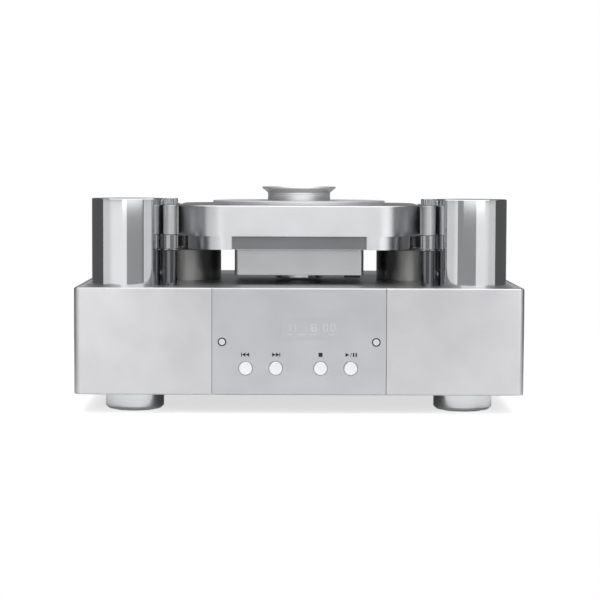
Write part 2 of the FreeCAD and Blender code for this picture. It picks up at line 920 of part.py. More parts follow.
def flanged_pulley(radius, bore, x, y):
    low = belt_bottom - belt_side_gap - pulley_flange_thickness
    high = belt_bottom + belt_height + belt_side_gap + pulley_flange_thickness
    rim = radius + pulley_flange
    profile = [(bore, low), (rim, low), (rim, low + pulley_flange_thickness),
               (radius, low + pulley_flange_thickness), (radius, high - pulley_flange_thickness),
               (rim, high - pulley_flange_thickness), (rim, high), (bore, high)]
    return turned(profile, x, y)


def spindle_pulley():
    return flanged_pulley(pulley_radius, shaft_radius, 0, axis_y)


def motor_pulley():
    # The small pulley and its shaft in one
    pulley = flanged_pulley(motor_pulley_radius, motor_shaft_radius, 0, motor_y)
    top = pulley.BoundBox.ZMax
    shaft = rod(motor_shaft_radius, 0, motor_y, motor_top() - motor_shaft_dip, top)
    return joined([pulley, shaft])


def spindle_shaft():
    low = box_bottom + thrust_height + thrust_gap
    return turned([(0, low), (shaft_radius - shaft_edge, low), (shaft_radius, low + shaft_edge),
                   (shaft_radius, hub_top), (0, hub_top)], 0, axis_y)


def disc_hub():
    # The seat for the disc, with a pin for its centre hole
    top = hub_top + pin_straight + pin_taper
    profile = [(0, hub_top), (shaft_radius, hub_top), (shaft_radius, hub_bottom),
               (hub_radius - hub_edge, hub_bottom), (hub_radius, hub_bottom + hub_edge),
               (hub_radius, hub_top), (pin_radius, hub_top), (pin_radius, hub_top + pin_straight),
               (pin_tip_radius, top), (0, top)]
    return turned(profile, 0, axis_y)


def puck():
    # A turned weight: straight body, fine groove, flared flange, and a recess for the hub's pin
    low = hub_top
    top = low + puck_height
    recess_radius = pin_radius + pin_recess_gap
    recess_top = low + pin_straight + pin_taper + pin_head_gap
    groove = top - puck_groove_drop
    dish = top - puck_dish
    profile = [(0, recess_top), (recess_radius, recess_top), (recess_radius, low),
               (puck_radius - puck_edge, low), (puck_radius, low + puck_edge),
               (puck_radius, groove - puck_groove), (puck_radius - puck_groove, groove),
               (puck_radius, groove + puck_groove), (puck_radius, top - puck_rim - puck_taper),
               (puck_flange_radius, top - puck_rim), (puck_flange_radius, top - puck_groove),
               (puck_flange_radius - puck_groove, top), (puck_dish_radius + puck_dish, top),
               (puck_dish_radius, dish), (0, dish)]
    return turned(profile, 0, axis_y)


def lid():
    # A thin round cover with a hole for the puck and a ring that locates it in the well
    top = slab_top + lid_thickness
    lip_outer = well_radius - lip_gap
    profile = [(lid_hole_radius, slab_top), (lip_outer - lip_width, slab_top),
               (lip_outer - lip_width, slab_top - lip_depth), (lip_outer, slab_top - lip_depth),
               (lip_outer, slab_top), (lid_radius - lid_edge, slab_top), (lid_radius, slab_top + lid_edge),
               (lid_radius, top - lid_edge), (lid_radius - lid_edge, top),
               (lid_hole_radius + lid_edge, top), (lid_hole_radius, top - lid_edge)]
    return turned(profile, 0, axis_y)


# Pickup

def sled_rails():
    rails = [rod_along_y(rail_radius, side * rail_x, rail_z, front_holder_y,
                         rear_holder_y + holder_thickness) for side in (-1, 1)]
    return Part.makeCompound(rails)


def rail_holders():
    holders = []
    for y in (front_holder_y, rear_holder_y):
        bar = block(-sled_half_width, sled_half_width, y, y + holder_thickness,
                    rail_z - rail_radius - holder_below, slab_bottom)
        for side in (-1, 1):
            bar = bar.cut(rod_along_y(rail_radius, side * rail_x, rail_z, y, y + holder_thickness))
        bar = bar.cut(rod_along_y(lead_radius + lead_gap, -screw_offset, rail_z, y, y + holder_thickness))
        holders.append(bar)
    return Part.makeCompound(holders)


def sled_carriage():
    # The sled on its rails with the optical head standing up through the slab
    y0 = lens_y - sled_half_length
    y1 = lens_y + sled_half_length
    base = block(-sled_half_width, sled_half_width, y0, y1, rail_z - sled_height / 2.0,
                 rail_z + sled_height / 2.0)
    head = block(-head_half_width, head_half_width, lens_y - head_front, lens_y + head_rear,
                 rail_z + sled_height / 2.0, hub_bottom + head_rise)
    shape = joined([base, head])
    for side in (-1, 1):
        shape = shape.cut(rod_along_y(rail_radius + rail_gap, side * rail_x, rail_z, y0, y1))
    return shape.cut(rod_along_y(lead_radius + lead_gap, -screw_offset, rail_z, y0, y1))


def pickup_lens():
    low = hub_bottom + head_rise
    high = low + lens_height
    return turned([(0, low), (lens_radius, low), (lens_radius, high - lens_edge),
                   (lens_radius - lens_edge, high), (lens_clear_radius, high),
                   (lens_clear_radius * 0.6, high + lens_bulge * 0.7), (0, high + lens_bulge)], 0, lens_y)


def lead_screw():
    return rod_along_y(lead_radius, -screw_offset, rail_z, front_holder_y,
                       rear_holder_y + holder_thickness + lead_end)


def sled_motor():
    y0 = rear_holder_y + holder_thickness
    can = rod_along_y(sled_motor_radius, -screw_offset, rail_z, y0, y0 + sled_motor_length)
    bore_end = y0 + lead_end + lead_end_gap
    return can.cut(rod_along_y(lead_radius + lead_gap, -screw_offset, rail_z, y0, bore_end))


# Rear and inside

def rear_panel():
    panel = block(-inner_x, inner_x, rear_y - rear_thickness, rear_y, floor_top, deck_bottom)
    cuts = [inlet_body(rear_y - rear_thickness)]
    for x in coax_x:
        cuts.append(rod_along_y(coax_neck_radius, x, socket_z, rear_y - rear_thickness, rear_y))
    return panel.cut(Part.makeCompound(cuts))


def inlet_body(y0):
    half_width = inlet_width / 2.0 - inlet_side_lip
    half_height = inlet_height / 2.0 - inlet_end_lip
    return block(inlet_x - half_width, inlet_x + half_width, y0, rear_y,
                 socket_z - half_height, socket_z + half_height)


def mains_inlet():
    # Flanged inlet with a plug cavity, three blades and a frame for the rocker
    flange = rounded_plate_back(inlet_x, socket_z, inlet_width, inlet_height, rear_y, inlet_flange,
                                inlet_corner)
    body = inlet_body(rear_y - rear_thickness - inlet_body_depth)
    face = rear_y + inlet_flange
    shape = joined([flange, body])
    shape = shape.cut(block(inlet_x - plug_width / 2.0, inlet_x + plug_width / 2.0, face - plug_depth,
                            face, plug_z - plug_height / 2.0, plug_z + plug_height / 2.0))
    shape = shape.cut(block(inlet_x - rocker_width / 2.0, inlet_x + rocker_width / 2.0, face - rocker_well,
                            face, rocker_z - rocker_height / 2.0, rocker_z + rocker_height / 2.0))
    reach = rocker_width / 2.0 + rocker_pin_reach + rocker_pin_gap
    shape = shape.cut(rocker_pin(rocker_pin_radius + rocker_pin_gap, reach))
    blades = [shape]
    for dx, dz in blade_places:
        x = inlet_x + dx
        z = plug_z + dz
        blades.append(block(x - blade_width / 2.0, x + blade_width / 2.0, face - plug_depth,
                            face - blade_sink, z - blade_height / 2.0, z + blade_height / 2.0))
    return joined(blades)


def rounded_plate_back(x, z, width, height, y, thickness, radius):
    # A flat plate on the rear face whose corners are round as seen from behind
    plate = rounded_plate(-width / 2.0, width / 2.0, -height / 2.0, height / 2.0, 0, thickness, radius)
    plate.rotate(point(0, 0, 0), point(1, 0, 0), -90)
    plate.translate(point(x, y, z))
    return plate


def rocker_pin(radius, reach):
    y = rear_y + inlet_flange - rocker_pin_depth
    return Part.makeCylinder(radius, 2.0 * reach, point(inlet_x - reach, y, rocker_z), point(1, 0, 0))


def mains_rocker():
    # A rocker on a cross pin, tilted to its lower stop
    face = rear_y + inlet_flange
    half = rocker_width / 2.0 - rocker_gap
    tall = rocker_height / 2.0 - rocker_gap
    outline = [(face + rocker_wing, rocker_edge - tall), (face + rocker_saddle, 0.0),
               (face + rocker_wing, tall - rocker_edge), (face - rocker_side, tall - 2.0 * rocker_edge),
               (face - rocker_keel, 0.0), (face - rocker_side, 2.0 * rocker_edge - tall)]
    corners = [point(inlet_x - half, y, rocker_z + rise) for y, rise in outline]
    shape = Part.Face(Part.makePolygon(corners + corners[:1])).extrude(point(2.0 * half, 0, 0))
    shape.rotate(point(inlet_x, face - rocker_pin_depth, rocker_z), point(1, 0, 0), rocker_tilt)
    return joined([shape, rocker_pin(rocker_pin_radius, half + rocker_gap + rocker_pin_reach)])


def coax_sockets():
    sockets = []
    for x in coax_x:
        nut = rod_along_y(coax_nut_radius, x, socket_z, rear_y, rear_y + coax_nut)
        barrel = rod_along_y(coax_radius, x, socket_z, rear_y + coax_nut, rear_y + socket_reach)
        neck = rod_along_y(coax_neck_radius, x, socket_z, rear_y - rear_thickness - coax_inside, rear_y)
        bore = rod_along_y(coax_bore, x, socket_z, rear_y, rear_y + socket_reach)
        sockets.append(joined([nut, barrel, neck]).cut(bore))
    return Part.makeCompound(sockets)


def transformer():
    # A ring-wound transformer that stands on the floor plate
    y = axis_y + transformer_behind
    low = floor_top
    high = low + transformer_height
    shoulder = transformer_radius - transformer_round
    return turned([(transformer_bore, low), (shoulder, low), (transformer_radius, low + transformer_round),
                   (transformer_radius, high - transformer_round), (shoulder, high),
                   (transformer_bore, high)], transformer_x, y)


def main_board(x, y, width, depth):
    # A board on four posts, with a row of capacitors
    low = floor_top + board_low
    pieces = [block(x - width / 2.0, x + width / 2.0, y - depth / 2.0, y + depth / 2.0, low,
                    low + board_thickness)]
    for side in (-1, 1):
        for end in (-1, 1):
            pieces.append(rod(switch_radius, x + side * (width / 2.0 - board_margin),
                              y + end * (depth / 2.0 - board_margin), floor_top, low))
    for step in range(capacitor_count):
        place = x + capacitor_spacing * (step - (capacitor_count - 1) / 2.0)
        pieces.append(rod(capacitor_radius, place, y, low + board_thickness, low + capacitor_height))
    return joined(pieces)


def circuit_boards():
    left = main_board(-supply_x, axis_y + supply_behind, supply_width, supply_depth)
    middle = main_board(-control_x, axis_y - control_ahead, control_width, control_depth)
    return Part.makeCompound([front_board(), left, middle])


def case_screws():
    # Screws of the panel and floor plate, and the bolts of the feet, towers, pots and posts
    screws = deck_bolts() + panel_screws()
    for x, y in floor_screw_places():
        screws.append(rod(floor_screw_radius, x, y, case_bottom, floor_top))
    for x, y in foot_places.values():
        bolt = rod(foot_bolt_radius, x, y, foot_height - foot_bolt_reach, floor_top)
        head = rod(foot_bolt_head_radius, x, y, floor_top, floor_top + foot_bolt_head)
        screws.append(bolt.fuse(head).removeSplitter())
    return Part.makeCompound(screws)


def build_parts():
    slab = drive_slab()
    arm = side_arm()
    cheek = front_cheek()
    side = side_wall()
    column = tower()
    pot = damper_pot()
    post = guide_post()
    parts = {
        "bottom_plate": floor_plate(),
        "side_wall_left": mirrored(side),
        "side_wall_right": side,
        "front_cheek_left": mirrored(cheek),
        "front_cheek_right": cheek,
        "front_panel": front_panel(),
        "top_deck": top_deck(),
        "rear_panel": rear_panel(),
        "display_window": display_window(),
        "case_screws": case_screws(),
        "foot_rings": foot_rings(),
        "foot_pads": foot_pads(),
        "tower_left": mirrored(column),
        "tower_right": column,
        "damper_pot_left": mirrored(pot),
        "damper_pot_right": pot,
        "damper_studs": damper_studs(),
        "bump_stops": bump_stops(),
        "spring_left": spring(-pot_x),
        "spring_right": spring(pot_x),
        "guide_post_left": mirrored(post),
        "guide_post_right": post,
        "guide_collars": guide_collars(),
        "guide_caps": guide_caps(),
        "side_arm_left": mirrored(arm),
        "side_arm_right": arm,
        "drive_slab": slab,
        "mechanism_base": mechanism_base(),
        "drive_plate": drive_plate(),
        "drive_box": drive_box(),
        "bearing_cup": bearing_cup(),
        "link_socket": link_socket(),
        "spindle_bearing": spindle_bearing(),
        "spindle_motor": spindle_motor(),
        "spindle_belt": spindle_belt(),
        "spindle_pulley": spindle_pulley(),
        "spindle_shaft": spindle_shaft(),
        "disc_hub": disc_hub(),
        "motor_pulley": motor_pulley(),
        "sled_rails": sled_rails(),
        "rail_holders": rail_holders(),
        "sled_carriage": sled_carriage(),
        "pickup_lens": pickup_lens(),
        "lead_screw": lead_screw(),
        "sled_motor": sled_motor(),
        "lid": lid(),
        "puck": puck(),
        "mains_inlet": mains_inlet(),
        "mains_rocker": mains_rocker(),
        "coax_sockets": coax_sockets(),
        "transformer": transformer(),
        "circuit_boards": circuit_boards(),
    }
    for name, (x, y) in foot_places.items():
        parts[name] = foot(x, y)
    for name, x in button_places.items():
        parts[name] = button(x)
    return parts


os.makedirs("parts", exist_ok=True)
for name, shape in build_parts().items():
    shape.exportStep("parts/" + name + ".step")
    print(name, len(shape.Solids), "solids", round(shape.Volume), "mm3", "valid", shape.isValid())
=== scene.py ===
import math

import bmesh
import bpy
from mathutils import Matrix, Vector


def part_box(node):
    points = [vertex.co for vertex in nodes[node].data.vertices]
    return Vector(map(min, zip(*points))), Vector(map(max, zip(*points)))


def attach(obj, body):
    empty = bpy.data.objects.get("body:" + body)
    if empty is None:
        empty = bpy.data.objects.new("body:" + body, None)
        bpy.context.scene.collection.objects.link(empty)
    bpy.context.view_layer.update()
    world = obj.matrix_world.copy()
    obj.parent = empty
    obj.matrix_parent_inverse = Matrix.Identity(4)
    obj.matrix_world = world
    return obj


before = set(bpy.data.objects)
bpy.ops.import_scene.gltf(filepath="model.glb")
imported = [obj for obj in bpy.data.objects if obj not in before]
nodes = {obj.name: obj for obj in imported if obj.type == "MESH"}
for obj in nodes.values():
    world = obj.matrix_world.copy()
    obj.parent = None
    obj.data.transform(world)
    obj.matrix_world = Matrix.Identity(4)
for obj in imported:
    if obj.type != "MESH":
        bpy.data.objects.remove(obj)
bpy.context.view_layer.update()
mm = 0.001
print("frame loaded:", len(nodes), "nodes")


def fromHex(text):  # sRGB hex to the linear colour that the shaders take
    channels = [int(text[place:place + 2], 16) / 255 for place in (1, 3, 5)]
    linear = [c / 12.92 if c <= 0.04045 else ((c + 0.055) / 1.055) ** 2.4 for c in channels]
    return (*linear, 1.0)


def addNode(tree, kind, settings=None, links=None):
    node = tree.nodes.new(kind)
    for key, value in (settings or {}).items():
        if isinstance(key, int) or key in node.inputs:
            node.inputs[key].default_value = value
        else:
            setattr(node, key, value)
    for key, source in (links or {}).items():
        tree.links.new(source, node.inputs[key])
    return node


def startMaterial(name):
    material = bpy.data.materials.new(name)
    material.use_nodes = True
    tree = material.node_tree
    tree.nodes.clear()
    output = addNode(tree, "ShaderNodeOutputMaterial")
    shader = addNode(tree, "ShaderNodeBsdfPrincipled")
    tree.links.new(shader.outputs[0], output.inputs["Surface"])
    coords = addNode(tree, "ShaderNodeTexCoord").outputs["Object"]
    return material, tree, shader, coords


# Metals: what each is, how its surface was made, and what that gives the eye
metals = {
    # brushed level, blasted with fine beads and clear anodised: pale, even and slightly soft
    "satinAluminium": dict(hex="#d9d9db", dark="#d2d2d5", rough=(0.38, 0.41), grain=1.2, bump=0.02, brushed=0.6),
    # the same finish from another batch, a shade darker
    "panelAluminium": dict(hex="#cfd0d3", dark="#c9cacd", rough=(0.36, 0.39), grain=1.2, bump=0.02, brushed=0.6),
    # milled, rubbed down and clear anodised: a broad soft sheen that darkens round the corners
    "rubbedAluminium": dict(hex="#e6e7e9", dark="#e0e1e3", rough=(0.32, 0.35), grain=1.5, bump=0.0, brushed=0.75),
    # turned, rubbed with fine cloth and clear anodised: pale in the middle, grey towards the sides
    "clothedAluminium": dict(hex="#fbfbfc", dark="#f8f8f9", rough=(0.52, 0.56), grain=1.0, bump=0.0, brushed=0.4),
    # blasted with coarser beads and clear anodised: nearly white under a light from above
    "blastedAluminium": dict(hex="#e2e2e4", dark="#dededf", rough=(0.58, 0.62), grain=1.2, bump=0.02),
    # turned, blasted and clear anodised bright: the nearly white button faces
    "brightAluminium": dict(hex="#fafafb", dark="#f7f7f8", rough=(0.56, 0.60), grain=1.0, bump=0.0),
    # bright steel, turned and blasted: the pale heads of the panel's cap screws
    "brightSteel": dict(hex="#f0f0f1", dark="#eaeaeb", rough=(0.50, 0.54), grain=0.3, bump=0.0),
    # sand cast, rubbed level and bead blasted; its colour is set darker than the milled parts as painted shade for the
    # drive box under the slab, and the side arms wear the same darker tone
    "castAluminiumShaded": dict(hex="#c3c5c6", dark="#bdbfc0", rough=(0.36, 0.40), grain=1.5, bump=0.02, brushed=0.6),
    # brushed level and hard anodised in dark grey
    "darkAnodised": dict(hex="#8b8d90", dark="#858789", rough=(0.34, 0.38), grain=1.2, bump=0.0, brushed=0.6),
    # ground flat and anodised: a soft low sheen that mirrors what stands on it
    "groundAluminium": dict(hex="#c8c9cb", dark="#c2c3c5", rough=(0.34, 0.38), grain=1.2, bump=0.0),
    # turned stainless steel, polished
    "polishedSteel": dict(hex="#b0b1b3", dark="#aaabad", rough=(0.08, 0.12), grain=0.5, bump=0.0),
    # turned and polished to a mirror: sharp upright bands
    "polishedAluminium": dict(hex="#dcdee0", dark="#d6d8da", rough=(0.06, 0.09), grain=0.5, bump=0.0),
    # acrylic with a brushed half-mirror metal coat: the panel's own grey, with the digits faint
    "mirrorCoatedAcrylic": dict(hex="#cfd0d3", dark="#cccdd0", rough=(0.34, 0.36), grain=4.0, bump=0.0, brushed=0.6),
    # ground rod with a black chrome plate
    "blackChrome": dict(hex="#77787b", dark="#707174", rough=(0.06, 0.09), grain=0.5, bump=0.0),
    # turned and black anodised: a soft dark sheen
    "blackAnodised": dict(hex="#9c9c9a", dark="#969694", rough=(0.28, 0.34), grain=0.5, bump=0.0),
    # cold-drawn spring wire, bright
    "springSteel": dict(hex="#b9b9ba", dark="#a9a9ab", rough=(0.18, 0.26), grain=0.3, bump=0.0),
    # plain machined steel, dull grey
    "machinedSteel": dict(hex="#8f9092", dark="#818285", rough=(0.26, 0.36), grain=0.3, bump=0.02),
    # turned brass, left bare
    "turnedBrass": dict(hex="#cda869", dark="#bd9655", rough=(0.18, 0.26), grain=0.3, bump=0.0),
    # nickel plate on pressed brass
    "nickelPlate": dict(hex="#c9c5bb", dark="#bfbbb0", rough=(0.12, 0.18), grain=0.3, bump=0.0),
    # gold flash over nickel on the sockets
    "goldPlate": dict(hex="#e3bd6c", dark="#dab262", rough=(0.10, 0.15), grain=0.3, bump=0.0),
}


tintSpread = (0.35, 0.65)  # the part of the noise over which the tint goes from dark to pale


def surfaceMaterial(name, hex, dark, rough, grain, bump, patch, relief):  # lengths in millimetres
    material, tree, shader, coords = startMaterial(name)
    cloud = addNode(tree, "ShaderNodeTexNoise", {"Scale": 1 / (patch * mm), "Detail": 3.0}, {"Vector": coords})
    share = addNode(tree, "ShaderNodeMapRange", {"From Min": tintSpread[0], "From Max": tintSpread[1]},
                    {"Value": cloud.outputs["Fac"]})
    tint = addNode(tree, "ShaderNodeMix", {"data_type": "RGBA", 6: fromHex(dark), 7: fromHex(hex)},
                   {0: share.outputs["Result"]})
    tree.links.new(tint.outputs[2], shader.inputs["Base Color"])
    fine = addNode(tree, "ShaderNodeTexNoise", {"Scale": 1 / (grain * mm), "Detail": 2.0}, {"Vector": coords})
    mapped = addNode(tree, "ShaderNodeMapRange", {"To Min": rough[0], "To Max": rough[1]},
                     {"Value": fine.outputs["Fac"]})
    tree.links.new(mapped.outputs["Result"], shader.inputs["Roughness"])
    if bump:
        raised = addNode(tree, "ShaderNodeBump", {"Strength": bump, "Distance": relief * mm},
                         {"Height": fine.outputs["Fac"]})
        tree.links.new(raised.outputs["Normal"], shader.inputs["Normal"])
    return material, tree, shader


metalTexture = dict(patch=40.0, relief=0.02)  # soft tint patches, and how deep the grain is
plasticTexture = dict(patch=15.0, relief=0.05)


def metalMaterial(name, brushed=0.0, **look):
    material, tree, shader = surfaceMaterial(name, **look, **metalTexture)
    shader.inputs["Metallic"].default_value = 1.0
    if brushed:  # lines run level round the piece, so highlights spread up and down
        shader.inputs["Anisotropic"].default_value = brushed
        shader.inputs["Anisotropic Rotation"].default_value = 0.25
        level = addNode(tree, "ShaderNodeTangent", {"direction_type": "RADIAL", "axis": "Z"})
        tree.links.new(level.outputs[0], shader.inputs["Tangent"])
    return material


# Plastics, rubber and paint
plastics = {
    # black ABS, moulded in a spark-eroded tool: fine matt texture
    "mouldedAbs": dict(hex="#17181a", dark="#131415", rough=(0.42, 0.55), grain=0.35, bump=0.25),
    # black nitrile rubber, moulded: dull, slightly grey where it is handled
    "mouldedRubber": dict(hex="#1a1a1a", dark="#131313", rough=(0.62, 0.78), grain=0.6, bump=0.15),
    # black powder coat on sheet steel: fine orange peel
    "powderCoat": dict(hex="#2a2a2c", dark="#262628", rough=(0.38, 0.48), grain=1.2, bump=0.30),
    # amber polyester tape wound over copper
    "windingTape": dict(hex="#9a5a22", dark="#7d4518", rough=(0.28, 0.40), grain=2.0, bump=0.20),
    # solder mask over glass fibre
    "solderMask": dict(hex="#0e4a2c", dark="#0a3b23", rough=(0.25, 0.35), grain=1.5, bump=0.10),
    # white fluoropolymer, turned: soft, waxy white
    "whitePtfe": dict(hex="#e9e9e6", dark="#e2e2df", rough=(0.35, 0.45), grain=0.8, bump=0.0),
    # fired black print on the panel
    "blackPrint": dict(hex="#0d0d0e", dark="#0a0a0b", rough=(0.40, 0.50), grain=0.2, bump=0.0),
    # plain black, moulded smooth: painted shade standing in for the shadowed wall inside the panel screws'
    # counterbores
    "counterboreShadeBlack": dict(hex="#0d0d0e", dark="#0a0a0b", rough=(0.40, 0.50), grain=0.2, bump=0.0),
    # white print on the rocker
    "whitePrint": dict(hex="#e9e9e6", dark="#e2e2df", rough=(0.35, 0.45), grain=0.8, bump=0.0),
    # pale lit segments behind the tinted window
    "paleSegment": dict(hex="#dde1e3", dark="#d8dcde", rough=(0.30, 0.35), grain=0.5, bump=0.0),
}


finishes = {}
for finishName, look in metals.items():
    finishes[finishName] = metalMaterial(finishName, **look)
for finishName, look in plastics.items():
    finishes[finishName] = surfaceMaterial(finishName, **look, **plasticTexture)[0]


# Optical glass with an evaporated coat: a violet cast that pales towards the rim
lensLook = dict(middle="#2a2f52", rim="#6a5f96", ior=1.5, rough=0.03, coat=0.6, blend=0.4, spread=(0.1, 0.9))


def lensMaterial():
    material, tree, shader, coords = startMaterial("coatedGlass")
    shader.inputs["IOR"].default_value = lensLook["ior"]
    shader.inputs["Roughness"].default_value = lensLook["rough"]
    shader.inputs["Coat Weight"].default_value = lensLook["coat"]
    facing = addNode(tree, "ShaderNodeLayerWeight", {"Blend": lensLook["blend"]})
    share = addNode(tree, "ShaderNodeMapRange", {"From Min": lensLook["spread"][0], "From Max": lensLook["spread"][1]},
                    {"Value": facing.outputs["Facing"]})
    tint = addNode(tree, "ShaderNodeMix", {"data_type": "RGBA", 6: fromHex(lensLook["middle"]),
                                           7: fromHex(lensLook["rim"])}, {0: share.outputs["Result"]})
    tree.links.new(tint.outputs[2], shader.inputs["Base Color"])
    return material


finishes["coatedGlass"] = lensMaterial()
print("materials made:", len(finishes))

# Which finish each CAD node wears
nodeFinish = {
    "satinAluminium": ["front_cheek_left", "front_cheek_right", "side_wall_left", "side_wall_right",
                       "rear_panel", "rail_holders", "spindle_pulley"],
    "panelAluminium": ["front_panel"],
    "blastedAluminium": ["lid"],
    "brightSteel": ["case_screws"],
    "brightAluminium": ["button_previous", "button_next", "button_stop", "button_play"],
    "rubbedAluminium": ["drive_slab", "drive_plate"],
    # the darker cast tone is painted shade for the drive box under the slab; the side arms share it
    "castAluminiumShaded": ["drive_box", "side_arm_left", "side_arm_right"],
    "darkAnodised": ["mechanism_base"],
    "polishedAluminium": ["tower_left", "tower_right", "foot_front_left", "foot_front_right",
                          "foot_rear_left", "foot_rear_right", "bearing_cup"],
    "polishedSteel": ["guide_collars", "guide_caps"],
    "blackChrome": ["guide_post_left", "guide_post_right"],
    "clothedAluminium": ["puck"],
    "groundAluminium": ["top_deck"],
    "blackAnodised": ["damper_pot_left", "damper_pot_right"],
    "springSteel": ["spring_left", "spring_right"],
    "machinedSteel": ["damper_studs", "spindle_motor", "spindle_shaft", "sled_rails", "sled_motor"],
    "turnedBrass": ["spindle_bearing", "motor_pulley", "lead_screw"],
    "goldPlate": ["coax_sockets"],
    "mouldedAbs": ["disc_hub", "sled_carriage", "link_socket", "mains_inlet", "mains_rocker"],
    "mouldedRubber": ["foot_rings", "foot_pads", "spindle_belt", "bump_stops"],
    "powderCoat": ["bottom_plate"],
    "windingTape": ["transformer"],
    "solderMask": ["circuit_boards"],
    "mirrorCoatedAcrylic": ["display_window"],
    "coatedGlass": ["pickup_lens"],
}
for finishName, names in nodeFinish.items():
    for nodeName in names:
        piece = nodes[nodeName]
        if not piece.material_slots:
            piece.data.materials.append(finishes[finishName])
        for slot in piece.material_slots:
            slot.link = "OBJECT"
            slot.material = finishes[finishName]


def meshPiece(name, mesh, finish, body):
    data = bpy.data.meshes.new(name)
    mesh.to_mesh(data)
    mesh.free()
    piece = bpy.data.objects.new(name, data)
    bpy.context.scene.collection.objects.link(piece)
    data.materials.append(finishes[finish])
    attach(piece, body)
    return piece


def bevelledBox(low, high, bevel):
    mesh = bmesh.new()
    bmesh.ops.create_cube(mesh, size=1.0)
    for vert in mesh.verts:
        vert.co = Vector([start + (end - start) * (share + 0.5) for start, end, share in zip(low, high, vert.co)])
    bmesh.ops.bevel(mesh, geom=mesh.edges[:], offset=bevel, segments=2, profile=0.6, affect="EDGES")
    return mesh


def turnedMesh(profile, place, axis="Y", segments=64):  # a closed profile of (radius, height) in millimetres
    mesh = bmesh.new()
    rings = []
    for step in range(segments):
        angle = 2 * math.pi * step / segments
        ring = []
        for radius, height in profile:
            across, deep, along = radius * math.cos(angle) * mm, radius * math.sin(angle) * mm, height * mm
            spot = (across, along, deep) if axis == "Y" else (across, deep, along)
            ring.append(mesh.verts.new([start + shift for start, shift in zip(place, spot)]))
        rings.append(ring)
    for ring, nextRing in zip(rings, rings[1:] + rings[:1]):
        for corner in range(len(ring)):
            following = (corner + 1) % len(ring)
            mesh.faces.new((ring[corner], ring[following], nextRing[following], nextRing[corner]))
    bmesh.ops.recalc_face_normals(mesh, faces=mesh.faces)
    return mesh


def rectangle(left, right, low, high):
    return [(left, low), (right, low), (right, high), (left, high)]


def smoothed(piece, angle=35):
    for face in piece.data.polygons:
        face.use_smooth = True
    piece.data.set_sharp_from_angle(angle=math.radians(angle))
    return piece


# Printed transport symbols over the buttons: corners in millimetres, x to the right and z up
symbols = dict(z=62.4, height=4.2, lift=0.06 * mm, sink=0.1 * mm)
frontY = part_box("front_panel")[0].y
buttonX = {name: sum((corner.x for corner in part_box(name)), 0.0) / 2
           for name in ("button_previous", "button_next", "button_stop", "button_play")}


def addPrint(mesh, corners, shiftX, shiftZ):  # a thin print, standing just proud of the panel
    front = [mesh.verts.new((shiftX + x * mm, frontY - symbols["lift"], shiftZ + z * mm)) for x, z in corners]
    back = [mesh.verts.new((shiftX + x * mm, frontY + symbols["sink"], shiftZ + z * mm)) for x, z in corners]
    mesh.faces.new(front)
    mesh.faces.new(list(reversed(back)))
    for corner in range(len(corners)):
        following = (corner + 1) % len(corners)
        mesh.faces.new((front[following], front[corner], back[corner], back[following]))


def triangle(base, tip, reach):
    return [(base, -reach), (tip, 0.0), (base, reach)]


def bar(left, right, reach):
    return rectangle(left, right, -reach, reach)


def slash(left, right, lean, reach):
    return [(left, -reach), (right, -reach), (right + lean, reach), (left + lean, reach)]


half = symbols["height"] / 2
symbolShapes = {  # the two ends of each bar, and the base and tip of each triangle, from the middle of the button
    "button_previous": [bar(-4.6, -3.8, half), triangle(0.0, -3.9, half), triangle(3.8, 0.0, half)],
    "button_next": [triangle(-3.8, 0.0, half), triangle(0.0, 3.9, half), bar(3.8, 4.6, half)],
    "button_stop": [bar(-half, half, half)],
    "button_play": [triangle(-5.4, -1.4, half), slash(-0.8, -0.2, 1.6, half), bar(2.2, 3.7, half),
                    bar(4.9, 6.4, half)],
}
for buttonName, shapes in symbolShapes.items():
    mesh = bmesh.new()
    for shape in shapes:
        addPrint(mesh, shape, buttonX[buttonName], symbols["z"] * mm)
    bmesh.ops.recalc_face_normals(mesh, faces=mesh.faces)
    meshPiece("symbol_" + buttonName.split("_")[1], mesh, "blackPrint", "chassis")
print("symbols printed:", len(symbolShapes))

# Digits of the display, seven bars each, and the short marks below them
display = dict(digitTall=7.6, digitWide=4.6, barWide=0.8, gap=0.25, z=90.4, marksZ=83.2, marksTall=0.8,
               digits=[("1", -11.2), ("1", -5.6), ("1", 10.6), ("8", 15.6), ("0", 27.0), ("0", 34.6)],
               marks=[(-12.4, -7.8), (-1.0, 6.4), (11.2, 16.6), (30.4, 36.4)])
litBars = {"0": "abcdef", "1": "bc", "8": "abcdefg"}


def digitShape(name, x, z):  # the outlines of the lit bars of one digit
    wide, tall = display["digitWide"] / 2, display["digitTall"] / 2
    thick, gap = display["barWide"], display["gap"]
    bars = {
        "a": (-wide + gap, wide - gap, tall - thick, tall), "g": (-wide + gap, wide - gap, -thick / 2, thick / 2),
        "d": (-wide + gap, wide - gap, -tall, -tall + thick), "b": (wide - thick, wide, gap, tall - gap),
        "c": (wide - thick, wide, -tall + gap, -gap), "f": (-wide, -wide + thick, gap, tall - gap),
        "e": (-wide, -wide + thick, -tall + gap, -gap)}
    return [rectangle(x + left, x + right, z + low, z + high)
            for left, right, low, high in (bars[key] for key in litBars[name])]


mesh = bmesh.new()
for name, x in display["digits"]:
    for shape in digitShape(name, x, display["z"]):
        addPrint(mesh, shape, 0.0, 0.0)
for left, right in display["marks"]:
    low, high = display["marksZ"] - display["marksTall"] / 2, display["marksZ"] + display["marksTall"] / 2
    addPrint(mesh, rectangle(left, right, low, high), 0.0, 0.0)
bmesh.ops.recalc_face_normals(mesh, faces=mesh.faces)
meshPiece("display_digits", mesh, "paleSegment", "chassis")
print("display drawn")
